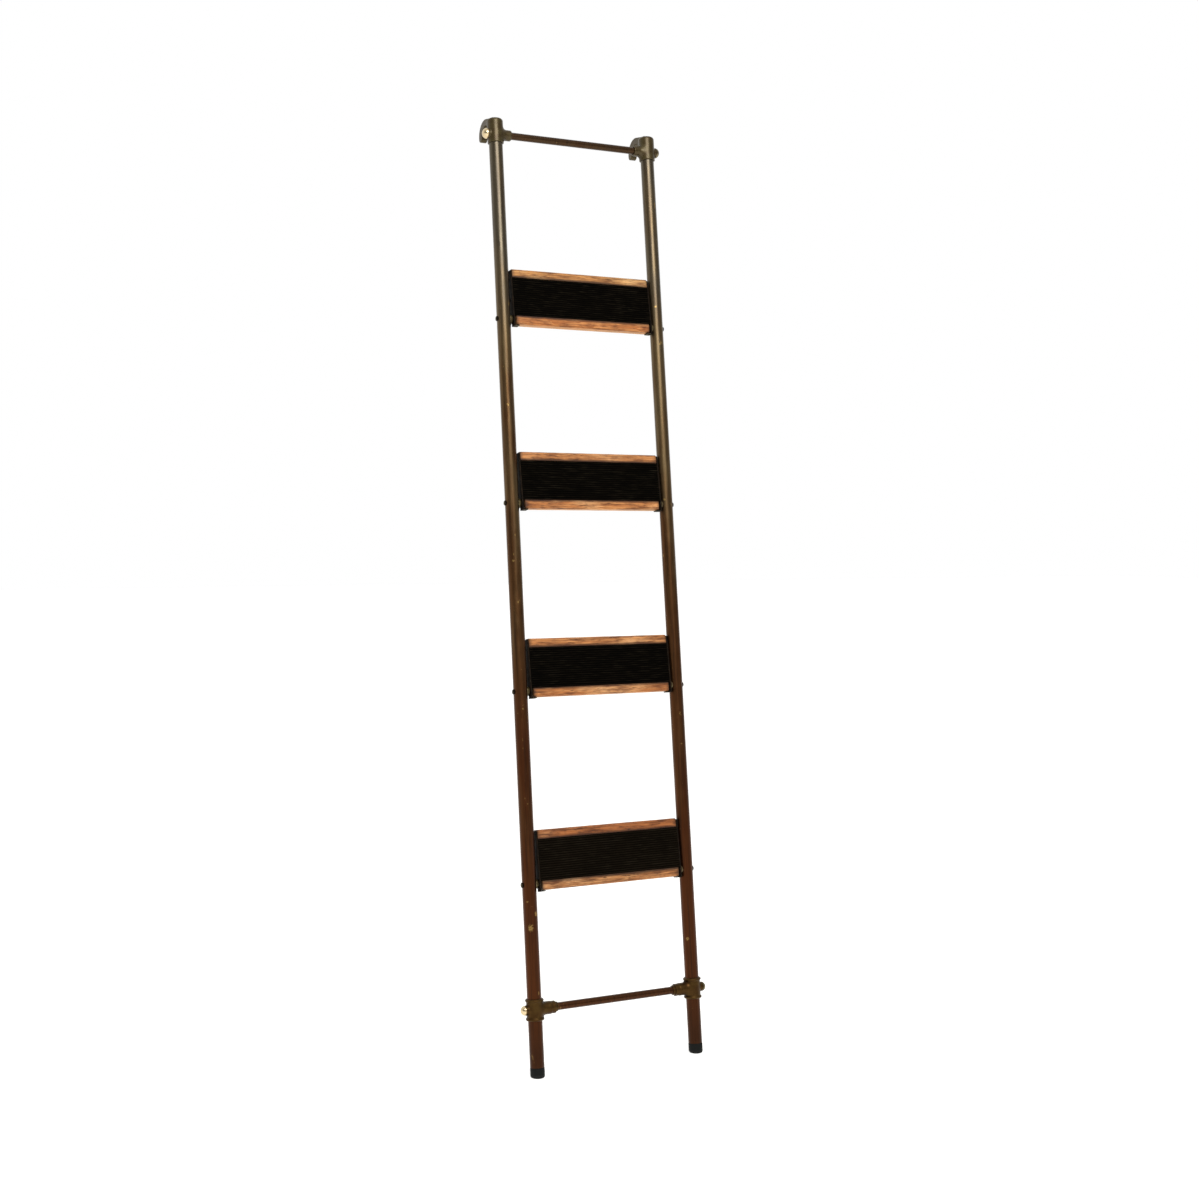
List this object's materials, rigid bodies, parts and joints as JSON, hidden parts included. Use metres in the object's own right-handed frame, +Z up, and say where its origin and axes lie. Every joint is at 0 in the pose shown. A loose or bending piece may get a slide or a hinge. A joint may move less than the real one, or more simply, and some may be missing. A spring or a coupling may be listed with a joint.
{
  "type": "folding-step ladder shelf",
  "caption": "Leaning ladder shelf of round metal stiles with hooks at the top and wooden, rubber-topped steps that fold flat between them.",
  "frame": {"origin": "on the floor, under the middle of the ladder's bounding box", "axes": "+X along the steps, +Y backward to the wall that it leans on, +Z up"},
  "size_m": [0.3696, 0.2714, 1.7253],
  "materials": {
    "patinated_tube": "brown patina, satin",
    "tie_rod_bronze": "red-brown patina, satin",
    "cast_bronze": "olive bronze casting, worn",
    "polished_brass": "polished",
    "dark_metal": "blackened, satin",
    "oiled_wood": "oiled, worn edges",
    "black_rubber": "matte, fine ribs, faint scuffs"
  },
  "bodies": {
    "frame": {"stile_left": "patinated_tube", "foot_left": "black_rubber", "top_hook_fitting_left": "cast_bronze", "bottom_tee_left": "cast_bronze", "rod_screw_top_left": "polished_brass", "rod_screw_bottom_left": "polished_brass", "stile_right": "patinated_tube", "foot_right": "black_rubber", "top_hook_fitting_right": "cast_bronze", "bottom_tee_right": "cast_bronze", "rod_screw_top_right": "polished_brass", "rod_screw_bottom_right": "polished_brass", "top_tie_rod": "tie_rod_bronze", "bottom_tie_rod": "tie_rod_bronze", "step_1_saddle_left": "cast_bronze", "step_1_pivot_bolt_left": "dark_metal", "step_1_pivot_nut_left": "dark_metal", "step_1_saddle_right": "cast_bronze", "step_1_pivot_bolt_right": "dark_metal", "step_1_pivot_nut_right": "dark_metal", "step_2_saddle_left": "cast_bronze", "step_2_pivot_bolt_left": "dark_metal", "step_2_pivot_nut_left": "dark_metal", "step_2_saddle_right": "cast_bronze", "step_2_pivot_bolt_right": "dark_metal", "step_2_pivot_nut_right": "dark_metal", "step_3_saddle_left": "cast_bronze", "step_3_pivot_bolt_left": "dark_metal", "step_3_pivot_nut_left": "dark_metal", "step_3_saddle_right": "cast_bronze", "step_3_pivot_bolt_right": "dark_metal", "step_3_pivot_nut_right": "dark_metal", "step_4_saddle_left": "cast_bronze", "step_4_pivot_bolt_left": "dark_metal", "step_4_pivot_nut_left": "dark_metal", "step_4_saddle_right": "cast_bronze", "step_4_pivot_bolt_right": "dark_metal", "step_4_pivot_nut_right": "dark_metal"},
    "step_1": {"step_1_board": "oiled_wood", "step_1_mat": "black_rubber", "step_1_bracket_left": "dark_metal", "step_1_bracket_right": "dark_metal"},
    "step_2": {"step_2_board": "oiled_wood", "step_2_mat": "black_rubber", "step_2_bracket_left": "dark_metal", "step_2_bracket_right": "dark_metal"},
    "step_3": {"step_3_board": "oiled_wood", "step_3_mat": "black_rubber", "step_3_bracket_left": "dark_metal", "step_3_bracket_right": "dark_metal"},
    "step_4": {"step_4_board": "oiled_wood", "step_4_mat": "black_rubber", "step_4_bracket_left": "dark_metal", "step_4_bracket_right": "dark_metal"}
  },
  "joints": [
    {"name": "step_1_fold", "type": "hinge", "parent": "frame", "child": "step_1", "pos_m": [0, -0.08539, 0.32887], "axis": [-1, 0, 0], "range_deg": [0, 76]},
    {"name": "step_2_fold", "type": "hinge", "parent": "frame", "child": "step_2", "pos_m": [0, -0.0469, 0.66669], "axis": [-1, 0, 0], "range_deg": [0, 76]},
    {"name": "step_3_fold", "type": "hinge", "parent": "frame", "child": "step_3", "pos_m": [0, -0.00841, 1.0045], "axis": [-1, 0, 0], "range_deg": [0, 76]},
    {"name": "step_4_fold", "type": "hinge", "parent": "frame", "child": "step_4", "pos_m": [0, 0.03008, 1.34232], "axis": [-1, 0, 0], "range_deg": [0, 76]}
  ]
}
